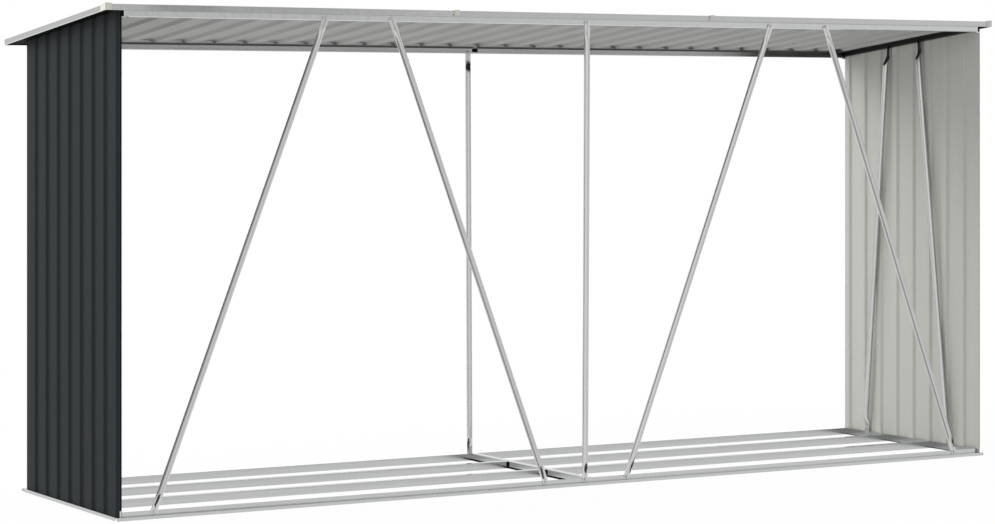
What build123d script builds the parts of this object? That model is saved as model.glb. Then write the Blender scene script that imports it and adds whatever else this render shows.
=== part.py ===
from build123d import *
import os

# Open log store of galvanised sheet steel: two ribbed end walls, a single-pitch roof
# that falls to the rear, a base of folded rails and braces of tube with flattened ends.
# Millimetres. +X runs along the store, -Y is the open front, +Z is up.
# The origin is on the ground, at the middle of the roof's plan; the frame under the roof
# stands frame_shift to the right of it, and its own places are written from its own middle.

# Whole store
roof_length = 3300
roof_depth = 840
roof_front_height = 1508.5
roof_fall = 86
roof_end_overhang = 50
roof_front_overhang = 12
roof_rear_overhang = 58
frame_shift = 5
sheet_gauge = 1.5

# Ribbed wall sheets
wall_rib_count = 8
wall_rib_crest = 53.5
wall_rib_slope = 8
wall_front_flat = 18
wall_rear_flat = 24.5
wall_rib_depth = 7

# Ribbed roof sheets
roof_sheet_count = 3
ribs_per_roof_sheet = 10
roof_rib_crest = 52
roof_rib_slope = 9
roof_rib_depth = 10

# Folded roof trim and its plastic caps and clips
trim_face_height = 18.5
trim_flange = 30
trim_joint_spread = 958
trim_joint_shift = -14
trim_joint_gap = 2
cap_wall = 2
cap_front_leg = 22
cap_side_leg = 36
clip_width = 17
clip_shift = 14
clip_face_height = 13
clip_top_depth = 20

# Beams at the front and rear of the roof, and the rails on the end walls
beam_height = 22
beam_flange = 26
beam_lip = 12
beam_end_inset = 8
top_rail_height = 18
top_rail_leg = 22
rear_joint_x = 21
joint_plate_width = 20
joint_plate_gap = 2

# Folded base rails, set round the walls, and the floor rails between them
base_side_ledge = 15
base_front_ledge = 3
rail_step_width = 14.5
rail_lip_height = 10
rail_height = 24
floor_rail_count = 2
floor_rail_width = 25
centre_rail_lip = 8

# Tubes with flattened, bolted ends
tube_diameter = 19.5
tongue_width = 20
tongue_thickness = 3
tongue_length = 34
tongue_corner = 6
flatten_length = 34
tongue_foot_gap = 5
tongue_top_inset = 11
brace_standoff = 1
post_shift = -5
outer_brace_foot_inset = 104.5
outer_brace_top_x = 933.5
inner_brace_top_x = 712
inner_brace_foot_x = 150.5
wall_brace_foot_spread = 476
wall_brace_foot_shift = 10
wall_brace_top_spread = 173
wall_brace_top_shift = 32

# Places that follow from the sizes above
wall_x = roof_length / 2 - roof_end_overhang
wall_front_y = roof_front_overhang - roof_depth / 2
wall_rear_y = roof_depth / 2 - roof_rear_overhang
wall_mid_y = (wall_front_y + wall_rear_y) / 2
sheet_inner_x = wall_x - sheet_gauge
rail_inner_x = sheet_inner_x - sheet_gauge
outer_brace_foot_x = wall_x - outer_brace_foot_inset

trim_x = roof_length / 2 - cap_wall
trim_y = roof_depth / 2 - cap_wall
roof_slope = roof_fall / (2 * trim_y)
roof_sheet_x = trim_x - sheet_gauge
roof_sheet_y = trim_y - sheet_gauge
roof_sheet_top = sheet_gauge
roof_seat = roof_sheet_top + roof_rib_depth + sheet_gauge

base_x = wall_x + base_side_ledge
base_front_y = wall_front_y - base_front_ledge
base_rear_y = wall_rear_y + base_front_ledge
front_step_y = base_front_y + rail_step_width
rear_step_y = base_rear_y - rail_step_width
rail_ledge_bottom = rail_lip_height - sheet_gauge


def roof_z(y):
    """Height of the roof's top plane above the ground."""
    return roof_front_height - (y + trim_y) * roof_slope


def block(xs, ys, zs):
    """Square-cornered block between pairs of places, given in any order."""
    lows = [min(pair) for pair in (xs, ys, zs)]
    highs = [max(pair) for pair in (xs, ys, zs)]
    sizes = [high - low for low, high in zip(lows, highs)]
    return Pos(*lows) * Box(*sizes, align=Align.MIN)


def prism_along_x(outline, xs):
    """Outline of (y, z) points carried along X between two places."""
    face = make_face(Polyline(*outline, close=True))
    return extrude(Plane.YZ.offset(min(xs)) * face, max(xs) - min(xs))


def roof_slab(xs, ys, drops):
    """Slab that follows the roof's fall, between two drops below its top plane."""
    near, far = min(ys), max(ys)
    upper, lower = min(drops), max(drops)
    outline = [
        (near, roof_z(near) - upper),
        (far, roof_z(far) - upper),
        (far, roof_z(far) - lower),
        (near, roof_z(near) - lower),
    ]
    return prism_along_x(outline, xs)


def rib_wave(first_crest, count, pitch, crest, slope, depth):
    """Corners (along, out) of a run of ribs that stand out from a flat sheet."""
    corners = []
    for index in range(count):
        middle = first_crest + index * pitch
        corners.append((middle - crest / 2 - slope, 0))
        corners.append((middle - crest / 2, depth))
        corners.append((middle + crest / 2, depth))
        corners.append((middle + crest / 2 + slope, 0))
    return corners


def wall_wave():
    """Corners (y, out) of an end wall from its front edge to its rear edge."""
    half_rib = wall_rib_slope + wall_rib_crest / 2
    first_crest = wall_front_y + wall_front_flat + half_rib
    last_crest = wall_rear_y - wall_rear_flat - half_rib
    pitch = (last_crest - first_crest) / (wall_rib_count - 1)
    ribs = rib_wave(
        first_crest, wall_rib_count, pitch, wall_rib_crest, wall_rib_slope, wall_rib_depth
    )
    return [(wall_front_y, 0)] + ribs + [(wall_rear_y, 0)]


def wall_panel(side):
    """One end wall: a ribbed sheet that stands on the base ledge and meets the roof."""
    wave = wall_wave()
    outer = [(side * (wall_x + out), y) for y, out in wave]
    inner = [(side * (sheet_inner_x + out), y) for y, out in reversed(wave)]
    face = make_face(Polyline(*outer, *inner, close=True))
    sheet = extrude(Plane.XY.offset(rail_lip_height) * face, roof_front_height)
    under_roof = prism_along_x(
        [
            (wall_front_y, rail_lip_height),
            (wall_rear_y, rail_lip_height),
            (wall_rear_y, roof_z(wall_rear_y) - roof_seat),
            (wall_front_y, roof_z(wall_front_y) - roof_seat),
        ],
        (side * sheet_inner_x, side * (wall_x + wall_rib_depth)),
    )
    return sheet & under_roof


def wall_top_rail(side):
    """Angle along the top of an end wall, under the roof sheet."""
    ys = (wall_front_y, wall_rear_y)
    web = roof_slab(
        (side * sheet_inner_x, side * rail_inner_x), ys, (roof_seat, roof_seat + top_rail_height)
    )
    leg = roof_slab(
        (side * rail_inner_x, side * (rail_inner_x - top_rail_leg)),
        ys,
        (roof_seat, roof_seat + sheet_gauge),
    )
    return web + leg


def soffit(side):
    """Dark sheet under the roof's overhang, from the ribs of an end wall to the trim."""
    limit_x = side * roof_sheet_x - frame_shift
    edge = [(side * (wall_x + out), y) for y, out in wall_wave()]
    outline = [(limit_x, -roof_sheet_y), (side * wall_x, -roof_sheet_y)]
    outline += edge + [(side * wall_x, roof_sheet_y), (limit_x, roof_sheet_y)]
    face = make_face(Polyline(*outline, close=True))
    column = extrude(face, roof_front_height)
    drops = (roof_seat, roof_seat + sheet_gauge)
    slab = roof_slab((side * wall_x, limit_x), (-roof_sheet_y, roof_sheet_y), drops)
    return column & slab


def roof_beam(xs, wall_y, inward):
    """Folded channel across the ends of the walls; inward is +1 at the front, -1 at the rear."""
    outer_limit = wall_x - beam_end_inset
    inner_limit = rail_inner_x - top_rail_leg
    web_xs = [max(-outer_limit, min(outer_limit, x)) for x in xs]
    leg_xs = [max(-inner_limit, min(inner_limit, x)) for x in xs]
    bottom = roof_seat + beam_height
    web = roof_slab(web_xs, (wall_y, wall_y - inward * sheet_gauge), (roof_seat, bottom))
    flange = roof_slab(
        leg_xs, (wall_y, wall_y + inward * beam_flange), (roof_seat, roof_seat + sheet_gauge)
    )
    lip = roof_slab(leg_xs, (wall_y, wall_y + inward * beam_lip), (bottom - sheet_gauge, bottom))
    return web + flange + lip


def rear_joint_plate():
    """Dark plate that covers the joint in the rear beam, between its flange and lip."""
    xs = (rear_joint_x - joint_plate_width / 2, rear_joint_x + joint_plate_width / 2)
    ys = (wall_rear_y, wall_rear_y - sheet_gauge)
    top = roof_seat + sheet_gauge + joint_plate_gap
    bottom = roof_seat + beam_height - sheet_gauge - joint_plate_gap
    return roof_slab(xs, ys, (top, bottom))


def roof_panel(index):
    """Ribbed roof sheet that runs from the front trim to the rear trim."""
    width = 2 * roof_sheet_x / roof_sheet_count
    pitch = width / ribs_per_roof_sheet
    left = index * width - roof_sheet_x
    ribs = rib_wave(
        left, ribs_per_roof_sheet + 1, pitch, roof_rib_crest, roof_rib_slope, roof_rib_depth
    )
    wave = [(left, roof_rib_depth)] + ribs[2:-2] + [(left + width, roof_rib_depth)]
    crest_z = roof_z(-roof_sheet_y) - roof_sheet_top
    upper = [(x, crest_z - roof_rib_depth + out) for x, out in wave]
    lower = [(x, z - sheet_gauge) for x, z in reversed(upper)]
    points = [(x, -roof_sheet_y, z) for x, z in upper + lower]
    section = make_face(Polyline(*points, close=True)).face()
    run = 2 * roof_sheet_y
    return Solid.extrude(section, Vector(0, run, -run * roof_slope))


def edge_trim(xs, end):
    """Folded angle along the front (-1) or rear (+1) edge of the roof."""
    face = roof_slab(xs, (end * trim_y, end * roof_sheet_y), (0, trim_face_height))
    flange = roof_slab(xs, (end * trim_y, end * (trim_y - trim_flange)), (0, sheet_gauge))
    return face + flange


def rake_trim(side):
    """Folded angle down one sloping end of the roof, between the edge trims."""
    flange_y = trim_y - trim_flange
    face = roof_slab(
        (side * trim_x, side * roof_sheet_x),
        (-roof_sheet_y, roof_sheet_y),
        (sheet_gauge, trim_face_height),
    )
    flange = roof_slab(
        (side * trim_x, side * (trim_x - trim_flange)), (-flange_y, flange_y), (0, sheet_gauge)
    )
    return face + flange


def corner_cap(side, end):
    """Plastic cap that wraps one corner of the roof trim."""
    outer_x = trim_x + cap_wall
    outer_y = trim_y + cap_wall
    xs = (side * outer_x, side * (outer_x - cap_front_leg))
    ys = (end * outer_y, end * (outer_y - cap_side_leg))
    front = roof_slab(xs, (end * trim_y, end * outer_y), (-cap_wall, trim_face_height))
    flank = roof_slab((side * trim_x, side * outer_x), ys, (-cap_wall, trim_face_height))
    top = roof_slab(xs, ys, (-cap_wall, 0))
    return front + flank + top


def trim_joint_x(side):
    """Place of one of the two joints in the front and rear trim."""
    return trim_joint_shift + side * trim_joint_spread / 2


def joint_clip(side, end):
    """Plastic clip beside a joint in the front or rear trim."""
    middle = trim_joint_x(side) + clip_shift
    xs = (middle - clip_width / 2, middle + clip_width / 2)
    outer_y = trim_y + cap_wall
    front = roof_slab(xs, (end * trim_y, end * outer_y), (-cap_wall, clip_face_height))
    top = roof_slab(xs, (end * outer_y, end * (trim_y - clip_top_depth)), (-cap_wall, 0))
    return front + top


def base_long_rail(side, lip_y, step_y, inward):
    """Half of the front or rear base rail: lip, ledge and upstand in one folded section."""
    outer = (0, side * base_x)
    lip = block(outer, (lip_y, lip_y + inward * sheet_gauge), (0, rail_lip_height))
    ledge = block(outer, (lip_y, step_y), (rail_ledge_bottom, rail_lip_height))
    web = block((0, side * rail_inner_x), (step_y, step_y + inward * sheet_gauge), (0, rail_height))
    return lip + ledge + web


def base_side_rail(side):
    """Base rail under one end wall, between the front and rear rails."""
    ys = (front_step_y, rear_step_y)
    lip = block((side * base_x, side * (base_x - sheet_gauge)), ys, (0, rail_lip_height))
    ledge = block((side * base_x, side * rail_inner_x), ys, (rail_ledge_bottom, rail_lip_height))
    web = block((side * sheet_inner_x, side * rail_inner_x), ys, (0, rail_height))
    return lip + ledge + web


floor_pitch = (rear_step_y - sheet_gauge - front_step_y) / (floor_rail_count + 1)


def floor_rail_y(index):
    """Front face of a floor rail; the rails share the base depth evenly."""
    return front_step_y + index * floor_pitch


def floor_rail(side, index):
    """Half of a floor rail: an upturned channel that lies on the ground."""
    front = floor_rail_y(index)
    xs = (0, side * rail_inner_x)
    outside = block(xs, (front, front + floor_rail_width), (0, rail_height))
    hollow = block(
        xs, (front + sheet_gauge, front + floor_rail_width - sheet_gauge), (0, rail_height - sheet_gauge)
    )
    return outside - hollow


def centre_rail_piece(ys):
    """Lipped channel across the middle of the floor, between two neighbouring rails."""
    inner = floor_rail_width - sheet_gauge
    outside = block((0, floor_rail_width), ys, (0, rail_height))
    hollow = block((sheet_gauge, inner), ys, (sheet_gauge, rail_height - sheet_gauge))
    slot = block((centre_rail_lip, floor_rail_width - centre_rail_lip), ys, (0, sheet_gauge))
    return outside - hollow - slot


def flat_ended_tube(foot, top, normal, standoff):
    """Tube whose ends are pressed flat, from one tongue's end to the other.

    The tongues lie square to normal, and the round part stands off along it.
    """
    rise = top - foot
    along = (rise - normal * rise.dot(normal)).normalized()
    across = along.cross(normal)
    away = normal * standoff
    ends = []
    for end, way in ((foot, along), (top, along * -1)):
        plate = Plane(end - normal * (tongue_thickness / 2), x_dir=way.cross(normal), z_dir=normal)
        half = tongue_width / 2
        outline = [
            (half - tongue_corner, 0),
            (half, tongue_corner),
            (half, tongue_length),
            (-half, tongue_length),
            (-half, tongue_corner),
            (tongue_corner - half, 0),
        ]
        flip = 1 if plate.y_dir.dot(way) > 0 else -1
        face = make_face(Polyline(*[(x, flip * y) for x, y in outline], close=True))
        tongue = extrude(plate * face, amount=tongue_thickness, dir=normal)
        ends.append((tongue, end + way * tongue_length, end + way * (tongue_length + flatten_length) + away))
    (foot_tongue, foot_root, foot_round), (top_tongue, top_root, top_round) = ends
    axis = (top_round - foot_round).normalized()
    tube = Plane(foot_round, x_dir=across, z_dir=axis) * Circle(tube_diameter / 2)
    shape = extrude(tube, (top_round - foot_round).length)
    for root, round_end in ((foot_root, foot_round), (top_root, top_round)):
        flat = Plane(root, x_dir=across, z_dir=along) * Rectangle(tongue_width, tongue_thickness)
        circle = Plane(round_end, x_dir=across, z_dir=axis) * Circle(tube_diameter / 2)
        shape += loft([flat.face(), circle.face()])
    return shape + foot_tongue + top_tongue


def front_tube(foot_x, top_x):
    """Post or brace on the front face of the base rail and of the front beam."""
    foot_y = front_step_y - tongue_thickness / 2
    top_y = wall_front_y - sheet_gauge - tongue_thickness / 2
    top_z = roof_z(wall_front_y) - roof_seat - tongue_top_inset
    foot = Vector(foot_x, foot_y, rail_lip_height + tongue_foot_gap)
    return flat_ended_tube(foot, Vector(top_x, top_y, top_z), Vector(0, 1, 0), 0)


def rear_tube(x):
    """Post on the rear face of the base rail and of the rear beam."""
    foot_y = rear_step_y + tongue_thickness / 2
    top_y = wall_rear_y + sheet_gauge + tongue_thickness / 2
    top_z = roof_z(wall_rear_y) - roof_seat - tongue_top_inset
    foot = Vector(x, foot_y, rail_lip_height + tongue_foot_gap)
    return flat_ended_tube(foot, Vector(x, top_y, top_z), Vector(0, -1, 0), 0)


def wall_tube(side, end):
    """Brace on the inner face of an end wall, on its base rail and top rail."""
    x = side * (rail_inner_x - tongue_thickness / 2)
    foot_y = wall_mid_y + wall_brace_foot_shift + end * wall_brace_foot_spread / 2
    top_y = wall_mid_y + wall_brace_top_shift + end * wall_brace_top_spread / 2
    top_z = roof_z(top_y) - roof_seat - tongue_top_inset
    foot = Vector(x, foot_y, rail_lip_height + tongue_foot_gap)
    standoff = tube_diameter / 2 + brace_standoff - tongue_thickness / 2
    return flat_ended_tube(foot, Vector(x, top_y, top_z), Vector(-side, 0, 0), standoff)


sides = {"left": -1, "right": 1}
ends = {"front": -1, "rear": 1}
nodes = {}

# Base
for side_name, side in sides.items():
    nodes[f"base_front_rail_{side_name}"] = base_long_rail(side, base_front_y, front_step_y, 1)
    nodes[f"base_rear_rail_{side_name}"] = base_long_rail(side, base_rear_y, rear_step_y, -1)
    nodes[f"base_{side_name}_rail"] = base_side_rail(side)
    nodes[f"front_floor_rail_{side_name}"] = floor_rail(side, 1)
    nodes[f"rear_floor_rail_{side_name}"] = floor_rail(side, floor_rail_count)
centre_spans = [
    (front_step_y + sheet_gauge, floor_rail_y(1)),
    (floor_rail_y(1) + floor_rail_width, floor_rail_y(floor_rail_count)),
    (floor_rail_y(floor_rail_count) + floor_rail_width, rear_step_y - sheet_gauge),
]
nodes["base_centre_rail"] = Compound(
    [solid for span in centre_spans for solid in centre_rail_piece(span).solids()]
)

# End walls and their braces
for side_name, side in sides.items():
    nodes[f"{side_name}_wall_panel"] = wall_panel(side)
    nodes[f"{side_name}_wall_top_rail"] = wall_top_rail(side)
    nodes[f"{side_name}_soffit"] = soffit(side)
    for end_name, end in ends.items():
        nodes[f"{side_name}_wall_brace_{end_name}"] = wall_tube(side, end)

# Beams
for side_name, side in sides.items():
    nodes[f"front_beam_{side_name}"] = roof_beam((0, side * wall_x), wall_front_y, 1)
    nodes[f"rear_beam_{side_name}"] = roof_beam((rear_joint_x, side * wall_x), wall_rear_y, -1)
nodes["rear_beam_joint_plate"] = rear_joint_plate()

# Front and rear posts, and the front braces
nodes["front_post"] = front_tube(post_shift, post_shift)
nodes["rear_post"] = rear_tube(post_shift)
for side_name, side in sides.items():
    nodes[f"front_brace_{side_name}_outer"] = front_tube(side * outer_brace_foot_x, side * outer_brace_top_x)
    nodes[f"front_brace_{side_name}_inner"] = front_tube(side * inner_brace_foot_x, side * inner_brace_top_x)

# The frame so far stands to one side of the roof's middle
nodes = {name: Pos(frame_shift, 0, 0) * shape for name, shape in nodes.items()}

# Roof
for index, place in enumerate(("left", "centre", "right")):
    nodes[f"roof_panel_{place}"] = roof_panel(index)
half_gap = trim_joint_gap / 2
trim_spans = {
    "left": (-trim_x, trim_joint_x(-1) - half_gap),
    "centre": (trim_joint_x(-1) + half_gap, trim_joint_x(1) - half_gap),
    "right": (trim_joint_x(1) + half_gap, trim_x),
}
for place, span in trim_spans.items():
    for end_name, end in ends.items():
        nodes[f"{end_name}_trim_{place}"] = edge_trim(span, end)
for side_name, side in sides.items():
    nodes[f"{side_name}_rake_trim"] = rake_trim(side)
nodes["roof_corner_caps"] = Compound(
    [solid for side in sides.values() for solid in corner_cap(side, ends["front"]).solids()]
)
nodes["trim_joint_clips"] = Compound(
    [
        solid
        for side in sides.values()
        for end in ends.values()
        for solid in joint_clip(side, end).solids()
    ]
)

os.makedirs("parts", exist_ok=True)
for name, shape in nodes.items():
    export_step(shape, f"parts/{name}.step")
print(len(nodes), "nodes")
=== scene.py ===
# %% [markdown]
# An open log store of galvanised sheet steel
#
# The store is a kit of thin folded steel: ribbed sheets for the end walls and the roof, folded
# rails for the base, folded trim round the roof, and tubes with pressed ends that keep it from
# leaning. The CAD model gives every place and size. This lesson makes each piece again as
# the thin metal that it is, with round bends, pressed ends, hems and screws, and gives it its finish.

import math
import random

import bmesh
import bpy
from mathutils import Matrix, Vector


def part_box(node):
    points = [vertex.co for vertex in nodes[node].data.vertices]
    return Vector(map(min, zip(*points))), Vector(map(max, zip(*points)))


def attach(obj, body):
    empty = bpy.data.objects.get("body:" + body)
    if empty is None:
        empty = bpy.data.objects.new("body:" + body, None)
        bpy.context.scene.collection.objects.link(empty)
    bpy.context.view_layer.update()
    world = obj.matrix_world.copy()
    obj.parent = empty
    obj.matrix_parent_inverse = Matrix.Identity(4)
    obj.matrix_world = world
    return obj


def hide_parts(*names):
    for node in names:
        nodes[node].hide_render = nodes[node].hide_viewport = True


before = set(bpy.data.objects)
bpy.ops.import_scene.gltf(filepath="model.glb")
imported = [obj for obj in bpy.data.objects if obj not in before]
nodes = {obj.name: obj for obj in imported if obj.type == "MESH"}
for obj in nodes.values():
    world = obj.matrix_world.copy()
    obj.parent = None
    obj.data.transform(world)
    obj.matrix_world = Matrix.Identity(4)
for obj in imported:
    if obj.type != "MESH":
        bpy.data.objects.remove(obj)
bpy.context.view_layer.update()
mm = 0.001
print("CAD nodes:", len(nodes))

# %% [markdown]
# The drawing's own sizes come first, in metres, so that each piece below can be read against them.
# The roof is one sloping plane: a height on it follows from how far back the point lies, and every
# folded piece under the roof is drawn by its drop below that plane.

# %% Sizes from the drawing
roof_front_height = 1508.5 * mm
roof_half_depth = 418 * mm
roof_slope = 86 / 836
roof_sheet_y = 416.5 * mm
roof_seat = 13 * mm
wall_front_y = -408 * mm
wall_rear_y = 362 * mm
wall_half_span = 1600 * mm
frame_x = 5 * mm
steel = 0.8 * mm
solid_gauge = 1.5 * mm
half_gap = 0.2 * mm


def roof_z(y, drop=0.0):
    """Height of a point that lies a drop below the roof's top plane."""
    return roof_front_height - (y + roof_half_depth) * roof_slope - drop


print("roof runs from", round(roof_z(-roof_half_depth), 4), "to", round(roof_z(roof_half_depth), 4), "m")

# %% [markdown]
# The camera stands a little to the left of the store's front, level, about nine metres away, with
# a long lens. Its place was solved from the straight edges of the photograph. A level camera keeps
# the uprights upright, and the lens shift lowers the frame in the way a view camera does.

# %% Camera
image_width = 995
focal_pixels = 2858.1
horizon_rise = 149.69
sideways = 0.5

camera_data = bpy.data.cameras.new("camera")
camera_data.sensor_width = 36
camera_data.lens = focal_pixels * camera_data.sensor_width / image_width
camera_data.shift_x = -sideways / image_width
camera_data.shift_y = -horizon_rise / image_width
camera = bpy.data.objects.new("camera", camera_data)
camera.location = (-4.8143 + frame_x, -8.1731, 1.1925)
camera.rotation_euler = (math.radians(90), 0, math.radians(-29.996))
bpy.context.scene.collection.objects.link(camera)
bpy.context.scene.camera = camera
print("lens", round(camera_data.lens, 2), "mm")

# %% [markdown]
# Finishes are node trees. Written node by node they are hard to read, so one small class wraps a
# socket and lets Python's signs add the Math nodes, and a second one holds a node tree and adds any
# other node. After that a finish reads like a formula.


# %% A socket with arithmetic
def feed(tree, socket, value):
    """Link a wrapped socket, or set a plain value."""
    if isinstance(value, Field):
        tree.links.new(value.socket, socket)
    else:
        socket.default_value = value


class Field:
    """An output socket that can be added, multiplied and subtracted."""

    def __init__(self, tree, socket):
        self.tree = tree
        self.socket = socket

    def math(self, operation, first, second):
        node = self.tree.nodes.new("ShaderNodeMath")
        node.operation = operation
        feed(self.tree, node.inputs[0], first)
        feed(self.tree, node.inputs[1], second)
        return Field(self.tree, node.outputs[0])

    def __add__(self, other):
        return self.math("ADD", self, other)

    def __radd__(self, other):
        return self.math("ADD", other, self)

    def __sub__(self, other):
        return self.math("SUBTRACT", self, other)

    def __rsub__(self, other):
        return self.math("SUBTRACT", other, self)

    def __mul__(self, other):
        return self.math("MULTIPLY", self, other)

    def __rmul__(self, other):
        return self.math("MULTIPLY", other, self)


# %% [markdown]
# A finish on the real store is one coat or one dip, so it is one object here as well: a tree that
# adds a node with its settings and inputs, and a material on top of it with its own shader.


# %% A node tree that grows node by node
class Tree:
    """A node tree, with one method for every node that isn't a Math node."""

    def __init__(self, tree):
        self.tree = tree

    def node(self, kind, settings=None, inputs=None, output=0):
        made = self.tree.nodes.new(kind)
        for key, value in (settings or {}).items():
            setattr(made, key, value)
        for key, value in (inputs or {}).items():
            feed(self.tree, made.inputs[key], value)
        return Field(self.tree, made.outputs[output])

    def place(self, stretch=(1, 1, 1), source="Object"):
        spot = self.node("ShaderNodeTexCoord", output=source)
        return self.node("ShaderNodeVectorMath", {"operation": "MULTIPLY"}, {0: spot, 1: stretch})

    def part(self, vector, axis):
        return self.node("ShaderNodeSeparateXYZ", None, {0: vector}, axis)

    def ramp(self, value, low, high, bottom=0.0, top=1.0):
        """A soft step from bottom to top while the value goes from low to high."""
        ends = {"Value": value, "From Min": low, "From Max": high, "To Min": bottom, "To Max": top}
        return self.node("ShaderNodeMapRange", {"interpolation_type": "SMOOTHSTEP"}, ends)

    def noise(self, spot, scale, detail=2.0):
        return self.node("ShaderNodeTexNoise", None, {"Vector": spot, "Scale": scale, "Detail": detail})

    def mix(self, share, first, second):
        settings = {"data_type": "RGBA", "clamp_factor": True}
        return self.node("ShaderNodeMix", settings, {0: share, 6: first, 7: second}, output=2)

    def rays(self):
        """Three switches: a ray from the camera, one from gloss, one through clear material."""
        kinds = ("Is Camera Ray", "Is Glossy Ray", "Is Transmission Ray")
        return [self.node("ShaderNodeLightPath", output=kind) for kind in kinds]


class Finish(Tree):
    """A material with a Principled shader."""

    def __init__(self, name):
        self.material = bpy.data.materials.new(name)
        self.material.use_nodes = True
        super().__init__(self.material.node_tree)
        self.shader = self.tree.nodes["Principled BSDF"]

    def set(self, **sockets):
        for key, value in sockets.items():
            feed(self.tree, self.shader.inputs[key.replace("_", " ")], value)

    def bump(self, height, strength, depth):
        inputs = {"Height": height, "Strength": strength, "Distance": depth}
        self.set(Normal=self.node("ShaderNodeBump", None, inputs))


def grey(value, tint=(1, 1, 1)):
    """A colour of one brightness with a light tint."""
    return (value * tint[0], value * tint[1], value * tint[2], 1)


print("finish tools ready")

# %% [markdown]
# Galvanised sheet is steel dipped in zinc. The zinc freezes in flat crystals about ten millimetres
# across, the spangle, and each one mirrors the light a little differently. Cells of a Voronoi
# pattern give one chance value to each crystal: it moves the brightness and the gloss, and a
# wide soft noise adds the clouds that handling leaves.


# %% Galvanised sheet
def galvanised(name, tone, gloss, darken=None, streak=0.0):
    """Dipped sheet; darken gives the share of black along X, a painted reflection, streak the lines that the
    rollers leave.
    """
    finish = Finish(name)
    spot = finish.place()
    cells = finish.node("ShaderNodeTexVoronoi", None, {"Vector": spot, "Scale": 95.0}, output="Color")
    crystal = finish.node("ShaderNodeSeparateColor", None, {"Color": cells})
    cloud = finish.noise(spot, 5.0, 4.0)
    grain = finish.noise(finish.place((900, 900, 60)), 1.0)
    share = 0.25 + crystal * 0.35 + cloud * 0.3
    if streak:
        share = share + (finish.noise(finish.place((2, 240, 240)), 1.0, 3.0) - 0.5) * streak
    cool = (0.99, 1.0, 1.005)
    sheet = finish.mix(share, grey(tone * 0.94, cool), grey(tone * 1.06, cool))
    if darken:
        sheet = finish.mix(darken(finish, finish.part(spot, "X")), sheet, grey(0.0))
    finish.set(Base_Color=sheet)
    finish.set(Metallic=1.0, Roughness=gloss + crystal * 0.05 + cloud * 0.04)
    finish.bump(crystal * 0.5 + grain * 0.5, 0.03, 0.0002)
    return finish.material


def trim_painted_reflection(finish, run):
    """The left length of front trim is darker towards its outer end: a painted reflection."""
    tail = 0.135 * finish.ramp(run, -1.34, -1.24, 1, 0) + 0.165 * finish.ramp(run, -1.3, -0.4, 1, 0)
    return finish.ramp(run, -1.58, -1.43) * tail


def rear_beam_painted_reflection(finish, run):
    """The rear beam is darker at its right end: a painted reflection."""
    return finish.ramp(run, 1.08, 1.24, 0.0, 0.55)


zinc_rail = galvanised("zinc_rail", 0.53, 0.14, None, 2.0)
zinc_trim = galvanised("zinc_trim", 0.5, 0.2)
# A copy that darkens the left front trim towards its outer end: a painted reflection.
zinc_trim_painted_reflection = galvanised("zinc_trim_painted_reflection", 0.52, 0.2, trim_painted_reflection)
zinc_beam = galvanised("zinc_beam", 0.56, 0.2)
zinc_rake = galvanised("zinc_rake", 0.46, 0.2)
# A darker copy for the rear beam, darker still at its right end: a painted reflection.
zinc_beam_painted_reflection = galvanised("zinc_beam_painted_reflection", 0.42, 0.2, rear_beam_painted_reflection)
# The darkest copy paints shade on faces that look away from the light.
zinc_painted_shade = galvanised("zinc_painted_shade", 0.34, 0.2)
# A brighter copy: a painted highlight on the rake trims' bead and the walls' corner tabs.
zinc_highlight = galvanised("zinc_highlight", 0.64, 0.2)
print("made the sheet finishes", zinc_rail.name, "to", zinc_highlight.name)

# %% [markdown]
# The tubes are rolled from bright strip and welded along one side. They are smoother than the dipped
# sheet, with hair lines along the tube. A dark band along one side and a faint one next to it are a
# painted reflection of dark parts of the room; the dark band fades out near the floor and the roof.
# Those lines have to follow a tube that slants, so the tubes carry a map of their own, in metres:
# around in one direction and along in the other, and the turn about the tube follows from its girth.


# %% Bright tube
tube_radius = 9.75 * mm


def bright_tube(name, tone, gloss, dark_reflection=(0.66, 0.05, 0.0), faint_reflection=0.0):
    """A dark reflection is (turn, half width, strength) with the turn as a share of the girth: a painted
    reflection band.
    """
    finish = Finish(name)
    around_tube = finish.place((1, 1, 1), "UV")
    turn = finish.part(around_tube, "X") * (1 / (2 * math.pi * tube_radius))
    lines = finish.noise(finish.place((1500, 9, 1), "UV"), 1.0, 3.0)
    cloud = finish.noise(finish.place(), 9.0, 3.0)
    middle, width, strength = dark_reflection
    reflection_band = finish.ramp(turn, middle - width, middle) * finish.ramp(turn, middle + width, middle)
    level = finish.part(finish.place(), "Z")
    reflection_band = reflection_band * finish.ramp(level, 1.44, 1.4) * finish.ramp(level, 0.04, 0.08)
    faint_band = finish.ramp(turn, 0.44, 0.5) * finish.ramp(turn, 0.56, 0.5)
    share = lines * 0.6 + cloud * 0.4 - reflection_band * strength * 7 - faint_band * faint_reflection * 7
    finish.set(Base_Color=finish.mix(share * 0.125 + 0.875, grey(0.0), grey(tone * 1.07)))
    finish.set(Metallic=1.0, Roughness=gloss + lines * 0.05 + cloud * 0.05)
    finish.bump(lines, 0.03, 0.0001)
    return finish.material


# Each tube copy puts the painted reflection band at its own turn, to suit the way its tube leans.
zinc_tube = bright_tube("zinc_tube", 0.6, 0.14, (0.64, 0.05, 0.0), 0.25)
tube_left = bright_tube("zinc_tube_left", 0.6, 0.14, (0.645, 0.1, 0.6), 0.3)
tube_right = bright_tube("zinc_tube_right", 0.6, 0.14, (0.675, 0.055, 0.4), 0.25)
# Near-black tube finish for the press dents: painted shade in the hollows.
press_painted_shade = bright_tube("press_painted_shade", 0.045, 0.35)
zinc_bolt = galvanised("zinc_bolt", 0.5, 0.22)
print("made", zinc_tube.name, zinc_bolt.name)

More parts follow.
